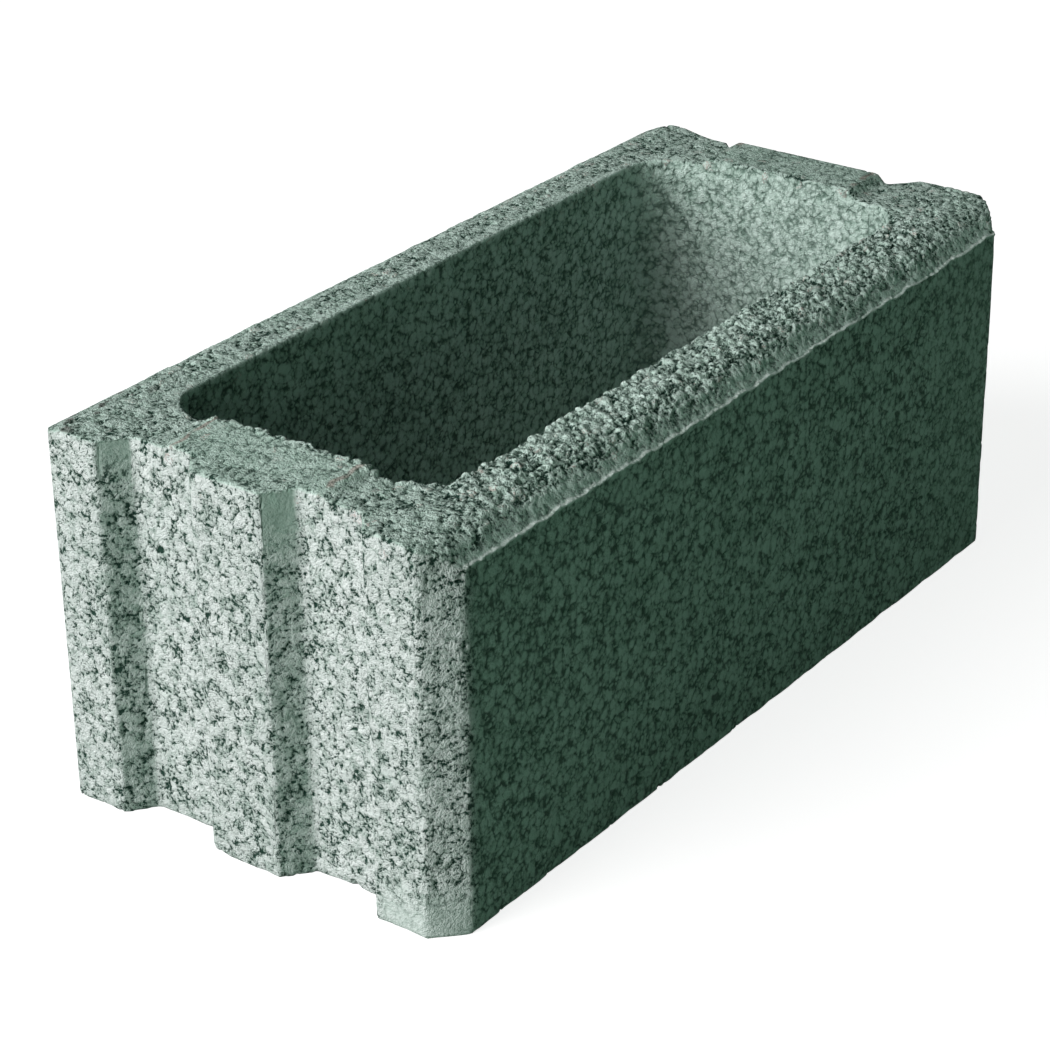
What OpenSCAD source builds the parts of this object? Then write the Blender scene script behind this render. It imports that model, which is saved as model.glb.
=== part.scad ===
// Hollow concrete wall block, cast in one piece round one large open cavity.
// Millimetres. Length runs along X, width along Y, and the block stands on its bed at Z = 0.
// The grooved end is at -X and the recessed end at +X.

/* [Block] */
// Overall length between the two end faces
block_length = 500; // [420:5:600]
// Overall width across the two long sides
block_width = 240; // [220:5:320]
// Height of the walls above the bed, without the raised pads
wall_height = 195; // [120:5:250]

/* [Cavity] */
// Thickness of each long wall
long_wall = 40; // [32:1:55]
// Thickness of each end wall, measured behind its grooves or its recess
end_wall = 33; // [20:1:50]
// Radius of the four upright inner corners
cavity_corner_radius = 24; // [5:1:40]

/* [Grooved end] */
// Width of the flat nose of the middle tongue
tongue_width = 40; // [20:1:48]
// Width of the flat floor of each key groove
groove_floor_width = 35; // [20:1:38]
// Width that each sloping flank of a groove takes up
groove_flank_width = 11; // [4:1:13]
// Depth of the key grooves
groove_depth = 14; // [6:1:20]
// Leg of the upright corner chamfers at the grooved end
grooved_end_chamfer = 15; // [5:1:20]

/* [Recessed end] */
// Width of the flat floor of the recess
recess_floor_width = 102; // [60:2:120]
// Width that each sloping flank of the recess takes up
recess_flank_width = 12; // [5:1:18]
// Depth of the recess
recess_depth = 14; // [6:1:20]
// Leg of the upright corner chamfers at the recessed end
recessed_end_chamfer = 20; // [5:1:26]

/* [Top] */
// Width of the pressed round shoulder along the outer top edge of each long wall
shoulder_width = 24; // [16:1:30]
// How far the shoulder falls from the wall's top to its foot on the long side
shoulder_drop = 12; // [4:1:14]
// Width of the raised pads where they stand on the end walls
pad_width = 98; // [50:2:130]
// Height of the raised pads above the walls
pad_height = 5; // [2:1:12]
// Width that each sloping side of a pad takes up
pad_slope = 5; // [1:1:10]

/* [Hidden] */
$fn = 64;
// How far a cutting shape runs past the face it cuts
overcut = 10;
half_length = block_length / 2;
half_width = block_width / 2;
tongue_half = tongue_width / 2;
groove_floor_inner = tongue_half + groove_flank_width;
groove_floor_outer = groove_floor_inner + groove_floor_width;
groove_mouth_outer = groove_floor_outer + groove_flank_width;
recess_floor_half = recess_floor_width / 2;
recess_mouth_half = recess_floor_half + recess_flank_width;
shoulder_radius = (pow(shoulder_width, 2) + pow(shoulder_drop, 2)) / (2 * shoulder_drop);
pad_half = pad_width / 2;
pad_top = wall_height + pad_height;
// Level inside the end walls where the strip that carries the pads starts
strip_bottom = wall_height / 2;
cavity_width = block_width - 2 * long_wall;
cavity_near_x = -half_length + groove_depth + end_wall;
cavity_far_x = half_length - recess_depth - end_wall;
concrete_colour = [0.60, 0.65, 0.60];

// Half of each end's outline as [inset from the end face, distance from the middle],
// running from the middle of the end to the long side
grooved_half = [
    [0, tongue_half],
    [groove_depth, groove_floor_inner],
    [groove_depth, groove_floor_outer],
    [0, groove_mouth_outer],
    [0, half_width - grooved_end_chamfer],
    [grooved_end_chamfer, half_width]
];
recessed_half = [
    [recess_depth, recess_floor_half],
    [0, recess_mouth_half],
    [0, half_width - recessed_end_chamfer],
    [recessed_end_chamfer, half_width]
];

function reversed(list) = [for (i = [len(list) - 1 : -1 : 0]) list[i]];

// Plan of the whole block, anticlockwise from the recessed end's -Y corner
module plan() {
    polygon(concat(
        [for (p = reversed(recessed_half)) [half_length - p[0], -p[1]]],
        [for (p = recessed_half) [half_length - p[0], p[1]]],
        [for (p = reversed(grooved_half)) [p[0] - half_length, p[1]]],
        [for (p = grooved_half) [p[0] - half_length, -p[1]]]
    ));
}

// Rectangle with true round corners, lying between two X positions and centred on the X axis
module rounded_rectangle(x0, x1, width, radius) {
    length = x1 - x0;
    translate([(x0 + x1) / 2, 0]) {
        square([length - 2 * radius, width], center = true);
        square([length, width - 2 * radius], center = true);
        for (sx = [-1, 1], sy = [-1, 1])
            translate([sx * (length / 2 - radius), sy * (width / 2 - radius)])
                circle(r = radius);
    }
}

// Bar along the whole length whose section is drawn in the Y-Z plane
module bar_along_length() {
    rotate([90, 0, 90])
        linear_extrude(block_length + 2 * overcut, center = true)
            children();
}

// Core that leaves the open cavity, right through from bed to top
module cavity_core() {
    translate([0, 0, -overcut])
        linear_extrude(pad_top + 2 * overcut)
            rounded_rectangle(cavity_near_x, cavity_far_x, cavity_width, cavity_corner_radius);
}

// What the press takes off the outer top edge of the +Y long wall to leave its round shoulder
module shoulder_cut() {
    bar_along_length()
        translate([half_width - shoulder_width, wall_height - shoulder_radius])
            difference() {
                square(shoulder_radius + overcut);
                circle(r = shoulder_radius);
            }
}

// Strip down the middle of the block that carries the raised pads on both end walls
module pad_strip() {
    intersection() {
        linear_extrude(pad_top) plan();
        bar_along_length()
            polygon([
                [-pad_half, strip_bottom],
                [pad_half, strip_bottom],
                [pad_half, wall_height],
                [pad_half - pad_slope, pad_top],
                [pad_slope - pad_half, pad_top],
                [-pad_half, wall_height]
            ]);
    }
}

// The whole casting
module block() {
    color(concrete_colour)
        difference() {
            union() {
                difference() {
                    linear_extrude(wall_height) plan();
                    shoulder_cut();
                    mirror([0, 1, 0]) shoulder_cut();
                }
                pad_strip();
            }
            cavity_core();
        }
}

block();
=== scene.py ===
"""Looks of the hollow concrete block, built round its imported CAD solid. Metres, +Z up."""

import math

import bpy
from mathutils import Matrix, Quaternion, Vector


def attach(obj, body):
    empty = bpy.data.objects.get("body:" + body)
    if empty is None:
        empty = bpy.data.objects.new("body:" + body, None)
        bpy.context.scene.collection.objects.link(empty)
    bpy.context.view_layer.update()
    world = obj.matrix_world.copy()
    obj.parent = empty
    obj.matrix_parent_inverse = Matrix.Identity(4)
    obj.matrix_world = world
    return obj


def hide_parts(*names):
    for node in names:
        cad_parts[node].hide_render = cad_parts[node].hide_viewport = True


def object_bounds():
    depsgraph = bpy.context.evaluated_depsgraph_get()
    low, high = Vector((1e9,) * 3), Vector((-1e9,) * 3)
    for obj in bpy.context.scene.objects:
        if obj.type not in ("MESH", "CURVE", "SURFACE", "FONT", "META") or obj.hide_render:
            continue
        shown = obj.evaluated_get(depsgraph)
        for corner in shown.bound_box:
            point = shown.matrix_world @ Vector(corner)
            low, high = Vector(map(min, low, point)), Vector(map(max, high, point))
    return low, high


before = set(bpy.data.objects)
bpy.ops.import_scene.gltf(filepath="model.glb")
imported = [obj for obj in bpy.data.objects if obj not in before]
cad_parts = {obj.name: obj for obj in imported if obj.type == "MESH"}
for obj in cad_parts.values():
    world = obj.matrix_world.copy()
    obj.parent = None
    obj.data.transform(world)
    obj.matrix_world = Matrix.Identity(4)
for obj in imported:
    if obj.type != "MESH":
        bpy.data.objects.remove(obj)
cad_low, cad_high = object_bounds()
scene = bpy.context.scene
scene.view_settings.view_transform = "Standard"

# Concrete block
# The whole object is one casting of coarse, open-textured concrete: round grains stuck together by
# a thin coat of paste, pressed in a mould. The mould leaves the walls flat with crevices between the
# grains, while the top is crumbly, flatter on the pads and dragged smooth at the foot of the shoulders.
cavity_half_length = 0.203
cavity_half_width = 0.080
cavity_corner = 0.024
groove_outer_edge = 0.077
groove_floor_x = 0.236
tongue_half = 0.020
shoulder_start = 0.1
shoulder_foot = 0.183
wall_top = 0.195
pad_front_drop = 0.003
coarse_grain = 0.0046
fine_grain = 0.0024
grit_size = 0.0017
voxel = 0.0014
triangle_limit = 194000
weld_gap = 0.00001
pick_margin = 0.001
fine_face_margin = 0.005
fine_face_tilt = 0.3

bpy.ops.object.select_all(action="DESELECT")
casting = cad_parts["block"]
casting.select_set(True)
bpy.context.view_layer.objects.active = casting
bpy.ops.object.duplicate()
block = bpy.context.object
block.name = "concrete_block"
block.data.materials.clear()
bpy.ops.object.mode_set(mode="EDIT")
bpy.ops.mesh.select_all(action="SELECT")
bpy.ops.mesh.remove_doubles(threshold=weld_gap)
bpy.ops.mesh.normals_make_consistent(inside=False)
bpy.ops.mesh.select_all(action="DESELECT")
bpy.ops.object.mode_set(mode="OBJECT")

# The near pad leans down to the front.
for vertex in block.data.vertices:
    in_front = vertex.co.x < pick_margin - groove_floor_x
    vertex.select = in_front and vertex.co.z > cad_high[2] - pick_margin
bpy.ops.object.mode_set(mode="EDIT")
bpy.ops.transform.translate(value=(0, 0, -pad_front_drop))
bpy.ops.object.mode_set(mode="OBJECT")
remesh = block.modifiers.new("even_mesh", "REMESH")
remesh.mode = "VOXEL"
remesh.voxel_size = voxel
bpy.ops.object.modifier_apply(modifier=remesh.name)

# The top and the shoulders get faces of half that size.
bpy.context.tool_settings.mesh_select_mode = (False, False, True)
for face in block.data.polygons:
    on_top = face.normal.z > fine_face_tilt or abs(face.center.y) > shoulder_start
    face.select = face.center.z > shoulder_foot - fine_face_margin and on_top
bpy.ops.object.mode_set(mode="EDIT")
bpy.ops.mesh.subdivide(number_cuts=1)
bpy.ops.mesh.select_all(action="DESELECT")
bpy.ops.object.mode_set(mode="OBJECT")


def add(tree, kind, inputs=None, **settings):
    """Adds a node, sets its properties and feeds its inputs with plain values or with other sockets."""
    node = tree.nodes.new(kind)
    for name, value in settings.items():
        setattr(node, name, value)
    for name, value in (inputs or {}).items():
        if isinstance(value, bpy.types.NodeSocket):
            tree.links.new(value, node.inputs[name])
        else:
            node.inputs[name].default_value = value
    return node


def live(sockets, name):
    """The socket of that name that the node's data type leaves in use."""
    return next(socket for socket in sockets if socket.name == name and socket.enabled)


def maths(tree, operation, a, b=0.0, c=0.0):
    """Socket of a sum, product or other operation on numbers."""
    return add(tree, "ShaderNodeMath", {0: a, 1: b, 2: c}, operation=operation).outputs[0]


def product(tree, first, *others):
    """Socket of several numbers multiplied together."""
    for other in others:
        first = maths(tree, "MULTIPLY", first, other)
    return first


def largest(tree, first, *others):
    """Socket of the largest of several numbers."""
    for other in others:
        first = maths(tree, "MAXIMUM", first, other)
    return first


def without(tree, share):
    """Socket of what a share leaves of 1."""
    return maths(tree, "SUBTRACT", 1.0, share)


def about_zero(tree, noise, middle=0.5):
    """Socket of a noise moved so that its middle is 0."""
    return maths(tree, "SUBTRACT", noise, middle)


def distance(tree, value, line):
    """Socket of how far a number is from a line's place."""
    return maths(tree, "ABSOLUTE", maths(tree, "SUBTRACT", value, line))


def ramp(tree, value, low, high, first=0.0, last=1.0):
    """Socket that goes smoothly from first to last while value goes from low to high."""
    inputs = {"Value": value, "From Min": low, "From Max": high, "To Min": first, "To Max": last}
    return add(tree, "ShaderNodeMapRange", inputs, interpolation_type="SMOOTHSTEP").outputs[0]


def between(tree, share, first, last):
    """Socket of a number that goes from first to last with a share."""
    return add(tree, "ShaderNodeMix", {0: share, 2: first, 3: last}).outputs[0]


def coat(tree, share, under, over, blend="MIX"):
    """Socket of a colour with a share of another laid over it."""
    inputs = {0: share, 6: under, 7: over}
    return add(tree, "ShaderNodeMix", inputs, data_type="RGBA", blend_type=blend).outputs[2]


def parts(tree, vector):
    """Sockets of a vector's three numbers."""
    return add(tree, "ShaderNodeSeparateXYZ", {0: vector}).outputs


def cloud(tree, place, size, detail=0.0):
    """Socket of soft noise from 0 to 1 whose blotches are about that size."""
    inputs = {"Vector": place, "Scale": 1 / size, "Detail": detail}
    return add(tree, "ShaderNodeTexNoise", inputs).outputs[0]


def grains(tree, place):
    """Height of the grains, 0 in the crevices to 1 on the crowns, and a chance number for each."""
    bend = 0.6 * coarse_grain
    coarse_fall = 1.8
    fine_fall = 1.5
    fine_crown = 0.72
    low_crown = 0.7
    low_chance = (0.1, 0.5)
    noise = add(tree, "ShaderNodeTexNoise", {"Vector": place, "Scale": 1 / coarse_grain, "Detail": 0.0})
    centre = {0: noise.outputs["Color"], 1: (0.5, 0.5, 0.5)}
    shift = add(tree, "ShaderNodeVectorMath", centre, operation="SUBTRACT").outputs[0]
    bent = {0: shift, 1: (bend, bend, bend), 2: place}
    bent = add(tree, "ShaderNodeVectorMath", bent, operation="MULTIPLY_ADD").outputs[0]
    coarse = add(tree, "ShaderNodeTexVoronoi", {"Vector": bent, "Scale": 1 / coarse_grain})
    fine = add(tree, "ShaderNodeTexVoronoi", {"Vector": bent, "Scale": 1 / fine_grain})
    chance = parts(tree, coarse.outputs["Color"])[0]
    coarse_dome = product(tree, coarse.outputs["Distance"], coarse.outputs["Distance"])
    coarse_crown = ramp(tree, chance, *low_chance, low_crown, 1.0)
    coarse_dome = maths(tree, "MULTIPLY_ADD", coarse_dome, -coarse_fall, coarse_crown)
    fine_dome = product(tree, fine.outputs["Distance"], fine.outputs["Distance"])
    fine_dome = maths(tree, "MULTIPLY_ADD", fine_dome, -fine_fall, fine_crown)
    return largest(tree, coarse_dome, fine_dome), chance


tree = bpy.data.node_groups.new("casting_relief", "GeometryNodeTree")
tree.interface.new_socket("Geometry", in_out="INPUT", socket_type="NodeSocketGeometry")
tree.interface.new_socket("Geometry", in_out="OUTPUT", socket_type="NodeSocketGeometry")
source = tree.nodes.new("NodeGroupInput")
place = tree.nodes.new("GeometryNodeInputPosition").outputs[0]

# How far a point is from the cavity, which way it faces, and a noise that makes borders ragged.
ragged_size = 0.006
x, y, level = parts(tree, place)
along = maths(tree, "ABSOLUTE", x)
across = maths(tree, "ABSOLUTE", y)
past_x = maths(tree, "MAXIMUM", maths(tree, "SUBTRACT", along, cavity_half_length - cavity_corner))
past_y = maths(tree, "MAXIMUM", maths(tree, "SUBTRACT", across, cavity_half_width - cavity_corner))
past = maths(tree, "MULTIPLY_ADD", past_x, past_x, product(tree, past_y, past_y))
from_rim = maths(tree, "SUBTRACT", maths(tree, "SQRT", past), cavity_corner)
normal = tree.nodes.new("GeometryNodeInputNormal").outputs[0]
face_y, face_z = parts(tree, normal)[1:]
sideways = maths(tree, "ABSOLUTE", face_y)
ragged = cloud(tree, place, ragged_size, detail=2.0)

# The left wall has a sharp pale band along its rim. Here and below, a pair of values is the two ends
# of a fade.
rim_band_width = (0.004, 0.009)
rim_band_level = (wall_top - 0.004, wall_top - 0.001)
rim_band_side = (0.05, 0.07)
rim_band = product(
    tree,
    ramp(tree, from_rim, *rim_band_width, 1.0, 0.0),
    ramp(tree, level, *rim_band_level),
    ramp(tree, y, *rim_band_side),
)

# Handling has rounded the edges, more in some places than in others. The rim of the left wall, the pads and
# the edges over the shaded groove flanks are sharp, and the left edge of the tongue is quite gone.
near_end = (-0.244, -0.240)
tongue_edge_reach = (0.004, 0.010)
flank_edge_reach = (0.004, 0.009)
pad_edge_level = (wall_top - 0.001, wall_top + 0.001)
pad_edge_side = (0.054, 0.060)
sharp_share = 0.8
rounding_steps = 7
wear_patch = 0.02
wear_noise = (0.4, 0.7)
least_wear = 0.1
most_wear = 0.8
tongue_edge = product(
    tree,
    ramp(tree, distance(tree, y, tongue_half), *tongue_edge_reach, 1.0, 0.0),
    ramp(tree, x, *near_end, 1.0, 0.0),
)
flank_edge = maths(tree, "MINIMUM", distance(tree, y, groove_outer_edge), distance(tree, y, -tongue_half))
flank_edge = product(
    tree,
    ramp(tree, flank_edge, *flank_edge_reach, sharp_share, 0.0),
    ramp(tree, x, *near_end, 1.0, 0.0),
)
pad_edge = product(
    tree,
    ramp(tree, level, *pad_edge_level, 0.0, sharp_share),
    ramp(tree, across, *pad_edge_side, 1.0, 0.0),
)
rounded = add(tree, "GeometryNodeBlurAttribute", {"Iterations": rounding_steps}, data_type="FLOAT_VECTOR")
tree.links.new(place, live(rounded.inputs, "Value"))
wear = ramp(tree, cloud(tree, place, wear_patch, detail=1.0), *wear_noise, least_wear, most_wear)
wear = product(tree, wear, without(tree, largest(tree, rim_band, flank_edge, pad_edge)))
worn = add(tree, "ShaderNodeMix", {0: largest(tree, wear, tongue_edge)}, data_type="VECTOR")
tree.links.new(place, live(worn.inputs, "A"))
tree.links.new(live(rounded.outputs, "Value"), live(worn.inputs, "B"))
worn = live(worn.outputs, "Result")
shape = add(tree, "GeometryNodeSetPosition", {"Geometry": source.outputs[0], "Position": worn}).outputs[0]

# The press drags the foot of the shoulders smooth, presses the pads flatter, and leaves a skin of paste
# on the heads of the groove flanks and at the foot of the near right corner.
drag_side = (0.115, 0.125)
drag_level = (shoulder_foot - 0.002, shoulder_foot)
drag_stop = (0.226, 0.232)
drag_ragged = 0.016
drag_share = 0.75
dragged = product(
    tree,
    ramp(tree, maths(tree, "MULTIPLY_ADD", ragged, drag_ragged, across), *drag_side, 0.0, drag_share),
    ramp(tree, level, *drag_level),
    ramp(tree, along, *drag_stop, 1.0, 0.0),
)
pad_level = (wall_top + 0.001, wall_top + 0.0025)
pad_from_rim = (0.001, 0.006)
pad_share = 0.45
pad = product(
    tree,
    ramp(tree, level, *pad_level, 0.0, pad_share),
    ramp(tree, from_rim, *pad_from_rim),
)
head_tilt = (0.5, 0.7)
groove_depth = (groove_floor_x - 0.002, groove_floor_x)
groove_side = (groove_outer_edge + 0.003, groove_outer_edge + 0.009)
head_level = (0.184, 0.190)
head_ragged = 0.024
head_share = 0.9
flank_head = product(
    tree,
    ramp(tree, sideways, *head_tilt),
    ramp(tree, along, *groove_depth),
    ramp(tree, across, *groove_side, 1.0, 0.0),
    ramp(tree, maths(tree, "MULTIPLY_ADD", ragged, head_ragged, level), *head_level, 0.0, head_share),
)
# The groove flanks that face right, away from the key lamp, are marked for painted shade.
flank_tilt = (-0.7, -0.5)
near_groove = (-groove_floor_x, 0.002 - groove_floor_x)
shaded_flank = product(
    tree,
    ramp(tree, face_y, *flank_tilt, 1.0, 0.0),
    ramp(tree, x, *near_groove, 1.0, 0.0),
    ramp(tree, across, *groove_side, 1.0, 0.0),
)
corner_side = (-0.082, -0.076)
corner_end = (-0.236, -0.232)
foot_level = (0.030, 0.050)
foot_ragged = 0.036
foot_share = 0.75
corner_foot = product(
    tree,
    ramp(tree, y, *corner_side, 1.0, 0.0),
    ramp(tree, x, *corner_end, 1.0, 0.0),
    ramp(tree, maths(tree, "MULTIPLY_ADD", ragged, foot_ragged, level), *foot_level, foot_share, 0.0),
)
rim_band_share = 0.5
smear = largest(tree, dragged, pad, flank_head, corner_foot, product(tree, rim_band, rim_band_share))

# The top of the long walls is crumbly, and so is the rim of the cavity, most of all at the near pad.
top_tilt = (0.2, 0.6)
top_level = (0.17, 0.182)
wall_side = (cavity_half_width - 0.012, cavity_half_width)
wall_end = (0.17, 0.215)
wall_end_share = 0.4
right_to_left = (-0.06, 0.06)
left_share = 0.3
long_wall = product(
    tree,
    ramp(tree, across, *wall_side),
    ramp(tree, along, *wall_end, 1.0, wall_end_share),
    ramp(tree, y, *right_to_left, 1.0, left_share),
    product(tree, ramp(tree, face_z, *top_tilt), ramp(tree, level, *top_level)),
)
rim_reach = (0.003, 0.008)
rim_level = (0.186, 0.192)
near_to_far = (-0.2, -0.15)
near_share = 0.8
far_share = 0.45
rim = product(
    tree,
    ramp(tree, from_rim, *rim_reach, 1.0, 0.0),
    ramp(tree, level, *rim_level),
    ramp(tree, x, *near_to_far, near_share, far_share),
    without(tree, rim_band),
)
crumble = product(tree, largest(tree, long_wall, rim), without(tree, smear))

# A burr wanders along the foot of the shoulders. The upright ends are kept out of the painted green tint of
# shade, and the other upright walls get painted shade round their grains, more grit and rounder bumps.
burr_below_foot = 0.0032
burr_wave = 0.012
burr_wave_height = 0.004
burr_ripple = 0.003
burr_ripple_height = 0.0024
burr_line = cloud(tree, place, burr_wave, detail=1.0)
burr_line = maths(tree, "MULTIPLY_ADD", burr_line, burr_wave_height, shoulder_foot - burr_below_foot)
ripple = cloud(tree, place, burr_ripple, detail=1.0)
burr_line = maths(tree, "MULTIPLY_ADD", ripple, burr_ripple_height, burr_line)
below_burr = maths(tree, "SUBTRACT", burr_line, level)
upright_tilt = (0.3, 0.6)
ends = (0.228, 0.234)
upright = ramp(tree, face_z, *upright_tilt, 1.0, 0.0)
untinted_ends = product(tree, ramp(tree, along, *ends), upright)
inner_and_long_walls = product(tree, ramp(tree, along, *ends, 1.0, 0.0), upright)
# The darker paste of the pads and flank heads, joined with painted shade on the right-facing groove flanks.
pad_paste = 0.35
shaded_flank_share = 0.55
paste_and_shade = largest(tree, product(tree, pad, pad_paste), product(tree, shaded_flank, shaded_flank_share), flank_head)
kept = (
    ("cast_place", "FLOAT_VECTOR", place),
    ("crumble", "FLOAT", crumble),
    ("smear", "FLOAT", smear),
    ("dragged", "FLOAT", dragged),
    ("paste_and_shade", "FLOAT", paste_and_shade),
    ("below_burr", "FLOAT", below_burr),
    ("untinted_ends", "FLOAT", untinted_ends),
    ("inner_and_long_walls", "FLOAT", inner_and_long_walls),
    ("rim_band", "FLOAT", rim_band),
)
for name, kind, value in kept:
    inputs = {"Geometry": shape, "Name": name, "Value": value}
    shape = add(tree, "GeometryNodeStoreNamedAttribute", inputs, data_type=kind, domain="POINT").outputs[0]

# Grains stand out on the crumbly places, and elsewhere only a few pits open between them.
crumb_depth = 0.0020
crumb_lift = 0.0010
crumb_height = (0.0, 0.9)
lump_size = 0.013
lump_height = 0.0040
pit_depth = 0.0011
pit_height = (0.05, 0.35)
pit_patch = 0.013
pit_noise = (0.4, 0.6)
rim_lump_size = 0.008
rim_lump_height = 0.007
rim_lump_middle = 0.55
near_rim_stop = (-0.19, -0.17)
height, chance = grains(tree, place)
crumbs = ramp(tree, height, *crumb_height)
crumbs = maths(tree, "MULTIPLY_ADD", crumbs, crumb_depth, crumb_lift - crumb_depth)
lumps = about_zero(tree, cloud(tree, place, lump_size, detail=1.0))
crumbs = maths(tree, "MULTIPLY_ADD", lumps, lump_height, crumbs)
pits = product(
    tree,
    ramp(tree, height, *pit_height, -pit_depth, 0.0),
    ramp(tree, cloud(tree, place, pit_patch), *pit_noise),
    without(tree, smear),
)
rise = between(tree, crumble, pits, crumbs)
near_rim = product(tree, rim, ramp(tree, x, *near_rim_stop, 1.0, 0.0))
rim_lumps = about_zero(tree, cloud(tree, place, rim_lump_size, detail=1.0), rim_lump_middle)
rise = maths(tree, "MULTIPLY_ADD", product(tree, near_rim, rim_lump_height), rim_lumps, rise)

# The burr stands out because the shoulder above it and the side below it lie further in.
burr_width = 0.0012
ledge_edge = (-0.0010, -0.0003)
ledge_level = (shoulder_foot + 0.003, wall_top - 0.003)
ledge_side = (0.108, 0.114)
ledge = product(
    tree,
    ramp(tree, below_burr, *ledge_edge, -burr_width, 0.0),
    ramp(tree, level, *ledge_level, 1.0, 0.0),
    ramp(tree, across, *ledge_side),
)
under_burr = 0.0006
under_side_wall = 0.0001
under_edge = (0.0, 0.0008)
under_reach = (0.002, 0.014)
under_side = (0.1175, 0.119)
under = product(
    tree,
    ramp(tree, below_burr, *under_edge),
    ramp(tree, below_burr, *under_reach, -under_burr, -under_side_wall),
    ramp(tree, across, *under_side),
)
rise = maths(tree, "ADD", rise, maths(tree, "ADD", ledge, under))

# The top edge of the far left corner is broken away beside the recess.
broken_width = 0.009
broken_drop = 0.012
broken_side = (0.063, 0.100)
broken_start = (0.049, 0.057)
broken_level = (0.165, 0.193)
broken_ragged = 0.5
broken = maths(tree, "ADD", x, ramp(tree, y, *broken_side, broken_width, 0.0))
broken = product(
    tree,
    ramp(tree, broken, cad_high[0], cad_high[0] + broken_width, 0.0, -broken_drop),
    ramp(tree, y, *broken_start),
    ramp(tree, level, *broken_level),
)
broken = product(tree, broken, maths(tree, "ADD", ragged, broken_ragged))
down = add(tree, "ShaderNodeCombineXYZ", {2: broken}).outputs[0]
offset = add(tree, "ShaderNodeVectorMath", {0: normal, "Scale": rise}, operation="SCALE").outputs[0]
offset = add(tree, "ShaderNodeVectorMath", {0: offset, 1: down}, operation="ADD").outputs[0]
shape = add(tree, "GeometryNodeSetPosition", {"Geometry": shape, "Offset": offset}).outputs[0]
tree.links.new(shape, tree.nodes.new("NodeGroupOutput").inputs[0])

relief = block.modifiers.new("casting_relief", "NODES")
relief.node_group = tree
bpy.ops.object.modifier_apply(modifier=relief.name)
thin = block.modifiers.new("fewer_faces", "DECIMATE")
thin.ratio = triangle_limit / sum(len(face.vertices) - 2 for face in block.data.polygons)
bpy.ops.object.modifier_apply(modifier=thin.name)
bpy.ops.object.shade_smooth()
for vertex in block.data.vertices:
    vertex.co = [min(max(v, low), high) for v, low, high in zip(vertex.co, cad_low, cad_high)]


def stored(tree, name):
    """Socket of a number that the relief left on the mesh."""
    return add(tree, "ShaderNodeAttribute", attribute_name=name).outputs["Fac"]


concrete = bpy.data.materials.new("concrete")
concrete.use_nodes = True
tree = concrete.node_tree
shader = tree.nodes["Principled BSDF"]
shader.inputs["Roughness"].default_value = 0.95
shader.inputs["Specular IOR Level"].default_value = 0.1
place = add(tree, "ShaderNodeAttribute", attribute_name="cast_place").outputs["Vector"]
crumble = stored(tree, "crumble")
smear = stored(tree, "smear")
dragged = stored(tree, "dragged")
paste_and_shade = stored(tree, "paste_and_shade")
below_burr = stored(tree, "below_burr")
untinted_ends = stored(tree, "untinted_ends")
inner_and_long_walls = stored(tree, "inner_and_long_walls")
rim_band = stored(tree, "rim_band")
patch_size = 0.010
x, y, level = parts(tree, place)
across = maths(tree, "ABSOLUTE", y)
height, chance = grains(tree, place)
grit = {"Vector": place, "Scale": 1 / grit_size, "Detail": 2.5, "Roughness": 0.8}
grit = add(tree, "ShaderNodeTexNoise", grit).outputs[0]
patch = cloud(tree, place, patch_size)

# Painted shade in the crevices between the grains: soft and shallow all over, with small dark pits in the
# deepest places. On the inner and long walls the painted shade follows the round grains, and a skin of
# paste fills the crevices.
grit_depth = 1.8
grain_depth = 0.38
patch_depth = 0.3
crumble_depth = -0.03
shallow_depth = (1.08, 1.30)
shallow_share = 0.5
dark_depth = (1.02, 1.11)
depth = maths(tree, "MULTIPLY_ADD", grit, grit_depth, product(tree, height, grain_depth))
depth = maths(tree, "MULTIPLY_ADD", patch, patch_depth, depth)
depth = maths(tree, "MULTIPLY_ADD", crumble, crumble_depth, depth)
shallow = ramp(tree, depth, *shallow_depth, shallow_share, 0.0)
crevice_shade = largest(tree, shallow, ramp(tree, depth, *dark_depth, 1.0, 0.0))
round_grit = 1.1
round_height = (-0.05, 0.85)
round_share = 0.75
far_wall = (0.15, 0.20)
far_wall_share = 0.75
round_grain = maths(tree, "MULTIPLY_ADD", about_zero(tree, grit), round_grit, height)
round_crevice_shade = product(
    tree,
    ramp(tree, round_grain, *round_height, round_share, 0.0),
    ramp(tree, x, *far_wall, 1.0, far_wall_share),
)
crevice_shade = between(tree, inner_and_long_walls, crevice_shade, round_crevice_shade)
drag_opening = -0.35
skin_range = (0.2, 0.9)
crevice_in_skin = 0.1
skin = maths(tree, "MULTIPLY_ADD", dragged, drag_opening, smear)
crevice_shade = product(tree, crevice_shade, ramp(tree, skin, *skin_range, 1.0, crevice_in_skin))

# The paste is left untinted on the upright ends and gets a painted green tint of shade elsewhere, and the
# dragged strips are streaked.
streaks_per_metre = (520.0, 130.0, 130.0)
crown_height = (0.0, 0.8)
crown_painted_light = 0.45
chance_shade = 0.35
skin_shade = 0.36
skin_share = 0.9
blotch_size = 0.05
blotch_shade = 0.35
streak_shade = 0.9
grit_shade = 0.9
paste_and_shade_weight = -0.65
drag_painted_light = 0.6
rim_band_shade = 0.2
stretched = {0: place, 1: streaks_per_metre}
stretched = add(tree, "ShaderNodeVectorMath", stretched, operation="MULTIPLY").outputs[0]
streak = cloud(tree, stretched, 1.0)
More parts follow.
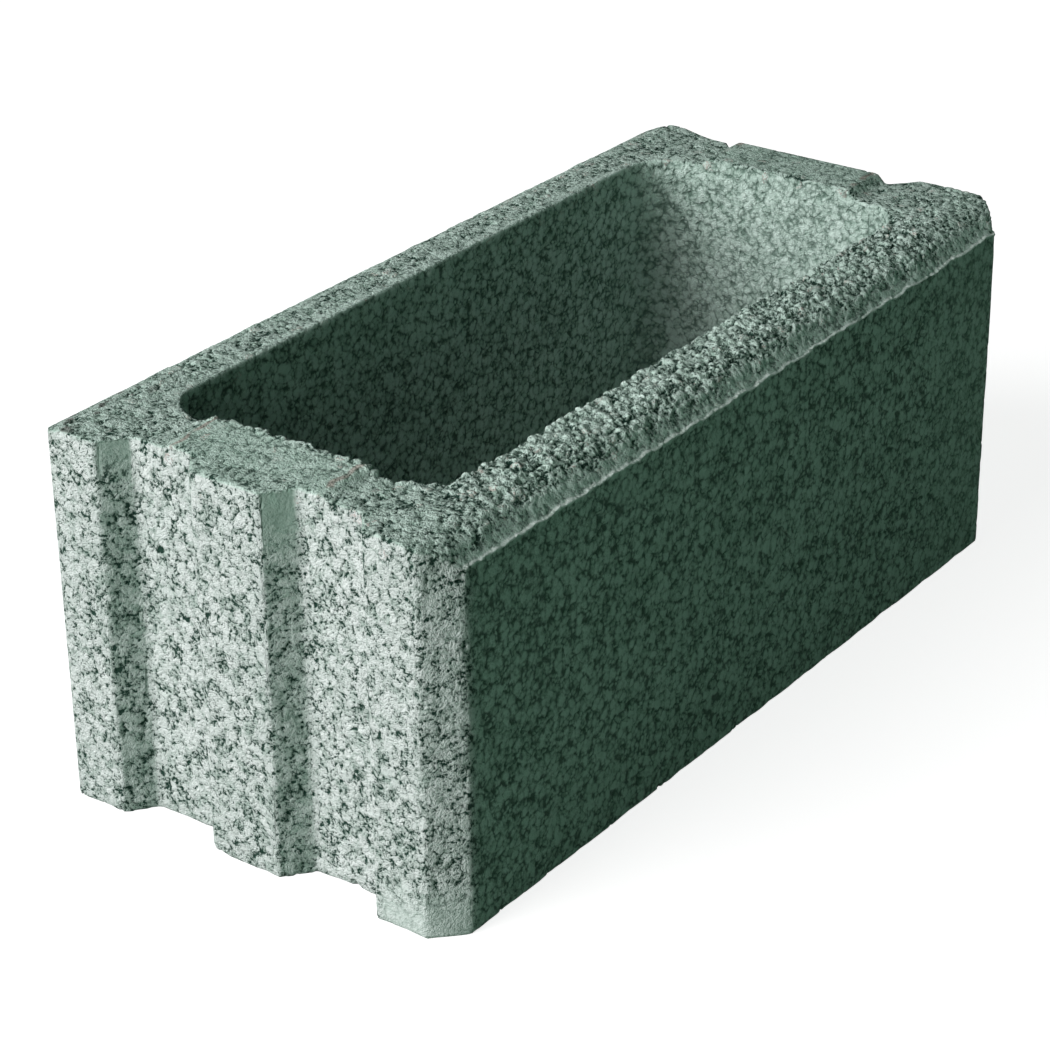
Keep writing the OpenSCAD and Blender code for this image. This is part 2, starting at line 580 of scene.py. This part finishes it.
# Painted shade and light on the grains: crowns lighter than the hollows between them.
shade = ramp(tree, height, *crown_height)
shade = maths(tree, "MULTIPLY_ADD", shade, crown_painted_light, product(tree, chance, chance_shade))
shade = between(tree, product(tree, smear, skin_share), shade, skin_shade)
layers = (
    (cloud(tree, place, blotch_size, detail=1.0), blotch_shade),
    (about_zero(tree, streak), product(tree, dragged, streak_shade)),
    (about_zero(tree, grit), product(tree, inner_and_long_walls, grit_shade)),
    # Painted shade on the groove flanks that face away from the key lamp, with the darker paste of pads and
    # flank heads.
    (paste_and_shade, paste_and_shade_weight),
    # Painted light that makes the dragged strips at the foot of the shoulders lighter.
    (dragged, drag_painted_light),
    (rim_band, rim_band_shade),
)
for layer, share in layers:
    shade = maths(tree, "MULTIPLY_ADD", layer, share, shade)
dark_paste = (0.32, 0.43, 0.37, 1)
pale_paste = (0.77, 0.83, 0.805, 1)
shade_green_tint = (0.83, 0.96, 0.895, 1)
tone = add(tree, "ShaderNodeValToRGB", {0: shade})
tone.color_ramp.elements[0].color = dark_paste
tone.color_ramp.elements[1].color = pale_paste
# Painted green tint of shade on every face but the upright ends.
colour = coat(tree, without(tree, untinted_ends), tone.outputs[0], shade_green_tint, blend="MULTIPLY")

# Red-brown crumbs lie on the top and along the sides of the pads, and the near left corner is dirty.
red_brown = (0.36, 0.19, 0.17, 1)
red_share = 0.5
speck_chance = (0.93, 0.95)
speck_level = (0.180, 0.192)
speck_grit = (0.5, 0.6)
speck = product(
    tree,
    ramp(tree, chance, *speck_chance),
    ramp(tree, level, *speck_level),
    ramp(tree, grit, *speck_grit),
)
red_line = 0.0425
red_line_width = (0.0008, 0.0020)
red_line_level = (wall_top, wall_top + 0.001)
red_line_patch = (0.35, 0.55)
red_line_wander = 0.006
wander = maths(tree, "MULTIPLY_ADD", about_zero(tree, patch), red_line_wander, across)
pad_foot = product(
    tree,
    ramp(tree, distance(tree, wander, red_line), *red_line_width, 1.0, 0.0),
    ramp(tree, level, *red_line_level),
    ramp(tree, patch, *red_line_patch),
)
colour = coat(tree, product(tree, largest(tree, speck, pad_foot), red_share), colour, red_brown)
dirt_colour = (0.085, 0.055, 0.055, 1)
dirt_share = 0.75
dirt_size = 0.008
dirt_end = (-0.20, -0.17)
dirt_side = (0.085, 0.10)
dirt_level = (0.183, 0.187)
dirt_noise = (0.54, 0.64)
dirt = product(
    tree,
    ramp(tree, x, *dirt_end, 1.0, 0.0),
    ramp(tree, y, *dirt_side),
    ramp(tree, level, *dirt_level),
    ramp(tree, cloud(tree, place, dirt_size, detail=2.0), *dirt_noise),
)
colour = coat(tree, product(tree, dirt, dirt_share), colour, dirt_colour)

# The top edge of the burr is a painted highlight, and the crevices get painted shade everywhere else.
burr_highlight_colour = (0.86, 0.97, 0.91, 1)
crevice_shade_colour = (0.020, 0.052, 0.038, 1)
burr_top = (-0.0016, -0.0009)
burr_bottom = (0.0, 0.0005)
burr_side = (0.1155, 0.1165)
burr_stop = (0.233, 0.237)
burr_highlight = product(
    tree,
    ramp(tree, below_burr, *burr_top),
    ramp(tree, below_burr, *burr_bottom, 1.0, 0.0),
    ramp(tree, across, *burr_side),
    ramp(tree, maths(tree, "ABSOLUTE", x), *burr_stop, 1.0, 0.0),
)
colour = coat(tree, burr_highlight, colour, burr_highlight_colour)
colour = coat(tree, product(tree, crevice_shade, without(tree, burr_highlight)), colour, crevice_shade_colour)
tree.links.new(colour, shader.inputs["Base Color"])

# Round grains stand out on the crumbly places and the softer walls, and the grit shows everywhere.
pressed_height = (-0.2, 0.5)
pressed_bump = 0.3
soft_bump = 0.8
grit_bump = 2.4
rough_bump = 0.8
skin_bump = 0.2
streak_bump = 0.35
bump_depth = 0.0012
pressed = ramp(tree, height, *pressed_height, 0.0, pressed_bump)
bumps = between(tree, largest(tree, crumble, product(tree, inner_and_long_walls, soft_bump)), pressed, height)
bumps = maths(tree, "MULTIPLY_ADD", grit, grit_bump, bumps)
bumps = product(tree, bumps, maths(tree, "MULTIPLY_ADD", without(tree, smear), rough_bump, skin_bump))
bumps = maths(tree, "MULTIPLY_ADD", product(tree, streak, dragged), streak_bump, bumps)
bump = add(tree, "ShaderNodeBump", {"Strength": 0.9, "Distance": bump_depth, "Height": bumps})
tree.links.new(bump.outputs[0], shader.inputs["Normal"])
block.data.materials.append(concrete)

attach(block, "root")
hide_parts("block")


# Floor
# A plain pale sheet that the block stands on. The camera sees it lighter than the lamps alone make it,
# and what it throws back on to the block is dim and green.
def seen_directly(tree):
    """Socket that is 1 for what the camera sees, also by reflection or through glass, and 0 otherwise."""
    ray = add(tree, "ShaderNodeLightPath").outputs
    return largest(tree, ray["Is Camera Ray"], ray["Is Glossy Ray"], ray["Is Transmission Ray"])


floor_size = 12
paper_seen = (0.45, 0.45, 0.45, 1)
paper_thrown_back = (0.11, 0.18, 0.14, 1)
paper_glow = 0.85
bpy.ops.object.select_all(action="DESELECT")
bpy.ops.mesh.primitive_plane_add(size=floor_size)
floor = bpy.context.object
floor.name = "floor"
paper = bpy.data.materials.new("paper")
paper.use_nodes = True
tree = paper.node_tree
shader = tree.nodes["Principled BSDF"]
shader.inputs["Roughness"].default_value = 1.0
shader.inputs["Emission Color"].default_value = (1, 1, 1, 1)
seen = seen_directly(tree)
tree.links.new(coat(tree, seen, paper_thrown_back, paper_seen), shader.inputs["Base Color"])
tree.links.new(product(tree, seen, paper_glow), shader.inputs["Emission Strength"])
floor.data.materials.append(paper)


# Studio light
# One broad soft key lamp in front of the grooved end, a little to its left, a dim low fill lamp on the
# right, and a dim even surround that the camera sees as white.
def studio_lamp(name, turn, height, level, colour, size):
    """Lamp that gives a face square to it about its colour times level; turn is from -X toward +Y."""
    lamp_distance = 5.0
    toward = Vector((
        -math.cos(turn) * math.cos(height),
        math.sin(turn) * math.cos(height),
        math.sin(height),
    ))
    bpy.ops.object.light_add(type="AREA", location=toward * lamp_distance)
    lamp = bpy.context.object
    lamp.name = name
    lamp.rotation_mode = "QUATERNION"
    lamp.rotation_quaternion = toward.to_track_quat("Z", "Y")
    lamp.data.size = size
    lamp.data.color = colour
    lamp.data.energy = level * (math.pi * lamp_distance) ** 2


studio_lamp(
    "key_lamp",
    turn=math.radians(24),
    height=math.radians(28),
    level=1.50,
    colour=(0.985, 0.955, 0.97),
    size=4.0,
)
studio_lamp(
    "fill_lamp",
    turn=math.radians(-58),
    height=math.radians(10),
    level=0.054,
    colour=(0.58, 1.0, 0.74),
    size=1.6,
)

surround_light = (0.014, 0.036, 0.025, 1)
surround_seen = (1, 1, 1, 1)
world = bpy.data.worlds.new("studio")
scene.world = world
world.use_nodes = True
tree = world.node_tree
sky = coat(tree, seen_directly(tree), surround_light, surround_seen)
tree.links.new(sky, tree.nodes["Background"].inputs["Color"])

# Camera
# Placed by fitting the block's edges to the photograph, with the picture's middle on the lens axis.
# It looks down on the grooved end and the right long side.
camera_place = Vector((-1.1096, -0.7957, 0.7647))
camera_aim = Vector((-0.0188, 0.0082, 0.0772))
camera_roll = math.radians(-0.70)
camera_lens = 102.71
sensor_width = 36
bpy.ops.object.camera_add(location=camera_place)
camera = bpy.context.object
camera.data.lens = camera_lens
camera.data.sensor_width = sensor_width
camera.rotation_mode = "QUATERNION"
level_turn = (camera_aim - camera_place).to_track_quat("-Z", "Y")
camera.rotation_quaternion = level_turn @ Quaternion((0, 0, 1), camera_roll)
scene.camera = camera
